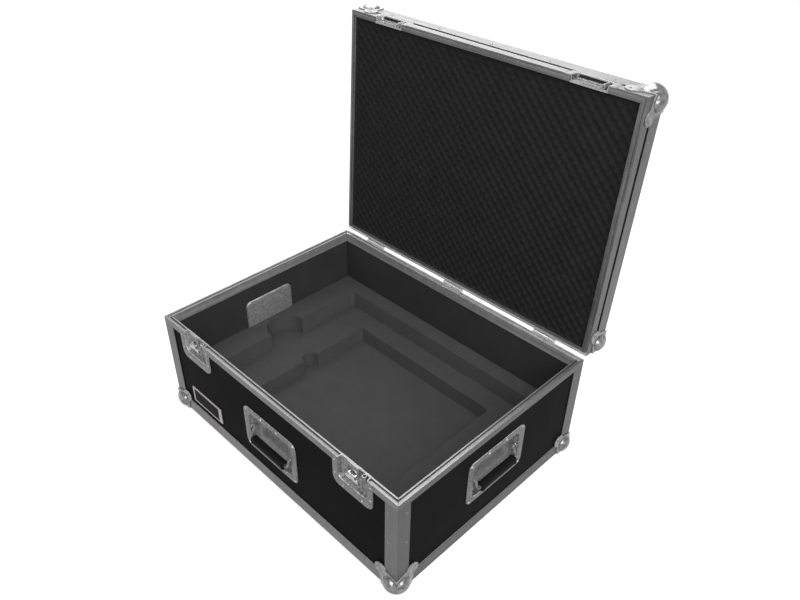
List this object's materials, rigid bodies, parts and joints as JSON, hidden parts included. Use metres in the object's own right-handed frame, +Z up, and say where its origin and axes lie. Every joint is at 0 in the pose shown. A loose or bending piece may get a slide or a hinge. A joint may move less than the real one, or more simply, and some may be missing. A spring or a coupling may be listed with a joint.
{
  "type": "flight case",
  "caption": "Aluminium edged transport case with hinged lid, recessed handles, butterfly latches and a foam lined interior with a stepped pocket.",
  "frame": {"origin": "middle of the flat under the front left ball corner, which the case stands on", "axes": "+X along the front to the right, +Y from the front to the hinges, +Z up; the lid stands open on its stop"},
  "size_m": [0.7264, 0.6325, 0.7834],
  "materials": {
    "black_laminate": "fine textured black phenolic laminate on plywood",
    "aluminium": "mill finish extrusion, satin",
    "zinc_steel": "zinc plated pressed steel, satin",
    "bright_steel": "bright plated steel",
    "black_rubber": "moulded black rubber",
    "label_frame": "satin frame",
    "grey_foam": "dark grey closed cell foam",
    "black_foam": "black dimpled foam"
  },
  "bodies": {
    "base": {"bottom_panel": "black_laminate", "front_panel": "black_laminate", "rear_panel": "black_laminate", "left_panel": "black_laminate", "right_panel": "black_laminate", "bottom_edge_front": "aluminium", "bottom_edge_rear": "aluminium", "bottom_edge_left": "aluminium", "bottom_edge_right": "aluminium", "corner_angle_front_left": "aluminium", "corner_angle_front_right": "aluminium", "corner_angle_rear_left": "aluminium", "corner_angle_rear_right": "aluminium", "base_rim_front": "aluminium", "base_rim_rear": "aluminium", "base_rim_left": "aluminium", "base_rim_right": "aluminium", "ball_corner_front_left": "zinc_steel", "ball_corner_front_right": "zinc_steel", "ball_corner_rear_left": "zinc_steel", "ball_corner_rear_right": "zinc_steel", "foam_lower_sheet": "grey_foam", "foam_upper_sheet": "grey_foam", "handle_dish_front": "zinc_steel", "handle_dish_left": "zinc_steel", "handle_dish_right": "zinc_steel", "label_holder": "label_frame", "latch_dish_left": "zinc_steel", "latch_dish_right": "zinc_steel", "hinge_leaf_base_left": "zinc_steel", "hinge_leaf_base_middle": "zinc_steel", "hinge_leaf_base_right": "zinc_steel"},
    "lid": {"lid_shell": "black_laminate", "lid_rim": "aluminium", "lid_edge_front": "aluminium", "lid_edge_rear": "aluminium", "lid_edge_left": "aluminium", "lid_edge_right": "aluminium", "lid_ball_corner_front_left": "zinc_steel", "lid_ball_corner_front_right": "zinc_steel", "lid_ball_corner_rear_left": "zinc_steel", "lid_ball_corner_rear_right": "zinc_steel", "lid_foam": "black_foam", "catch_dish_left": "zinc_steel", "catch_dish_right": "zinc_steel", "hinge_leaf_lid_left": "zinc_steel", "hinge_leaf_lid_middle": "zinc_steel", "hinge_leaf_lid_right": "zinc_steel"},
    "front_handle": {"handle_bail_front": "bright_steel", "handle_grip_front": "black_rubber"},
    "left_handle": {"handle_bail_left": "bright_steel", "handle_grip_left": "black_rubber"},
    "right_handle": {"handle_bail_right": "bright_steel", "handle_grip_right": "black_rubber"},
    "left_cam": {"latch_cam_left": "bright_steel"},
    "right_cam": {"latch_cam_right": "bright_steel"},
    "left_wing": {"latch_wing_left": "bright_steel"},
    "right_wing": {"latch_wing_right": "bright_steel"},
    "left_hook": {"latch_hook_left": "bright_steel"},
    "right_hook": {"latch_hook_right": "bright_steel"}
  },
  "joints": [
    {"name": "lid_hinge", "type": "hinge", "parent": "base", "child": "lid", "pos_m": [0.335, 0.5095, 0.2509], "axis": [1, 0, 0], "range_deg": [0, 93]},
    {"name": "front_handle_swing", "type": "hinge", "parent": "base", "child": "front_handle", "pos_m": [0.335, -0.0097, 0.1297], "axis": [-1, 0, 0], "range_deg": [0, 90], "stiffness_Nm_per_rad": 0.06},
    {"name": "left_handle_swing", "type": "hinge", "parent": "base", "child": "left_handle", "pos_m": [-0.0097, 0.245, 0.1507], "axis": [0, 1, 0], "range_deg": [0, 90], "stiffness_Nm_per_rad": 0.06},
    {"name": "right_handle_swing", "type": "hinge", "parent": "base", "child": "right_handle", "pos_m": [0.6797, 0.245, 0.1507], "axis": [0, -1, 0], "range_deg": [0, 90], "stiffness_Nm_per_rad": 0.06},
    {"name": "left_cam_turn", "type": "hinge", "parent": "base", "child": "left_cam", "pos_m": [0.095, -0.015, 0.2357], "axis": [0, 1, 0], "range_deg": [0, 180]},
    {"name": "right_cam_turn", "type": "hinge", "parent": "base", "child": "right_cam", "pos_m": [0.575, -0.015, 0.2357], "axis": [0, 1, 0], "range_deg": [0, 180]},
    {"name": "left_wing_fold", "type": "hinge", "parent": "left_cam", "child": "left_wing", "pos_m": [0.095, -0.0153, 0.2357], "axis": [-1, 0, 0], "range_deg": [0, 90]},
    {"name": "right_wing_fold", "type": "hinge", "parent": "right_cam", "child": "right_wing", "pos_m": [0.575, -0.0153, 0.2357], "axis": [-1, 0, 0], "range_deg": [0, 90]},
    {"name": "left_hook_slide", "type": "slide", "parent": "base", "child": "left_hook", "axis": [0, 0.6476, -0.7619], "range_m": [0, 0.00525]},
    {"name": "right_hook_slide", "type": "slide", "parent": "base", "child": "right_hook", "axis": [0, 0.6476, -0.7619], "range_m": [0, 0.00525]}
  ],
  "couplings": [
    {"joint": "left_hook_slide", "follows": "left_cam_turn", "m_per_rad": 0.00167},
    {"joint": "right_hook_slide", "follows": "right_cam_turn", "m_per_rad": 0.00167}
  ]
}
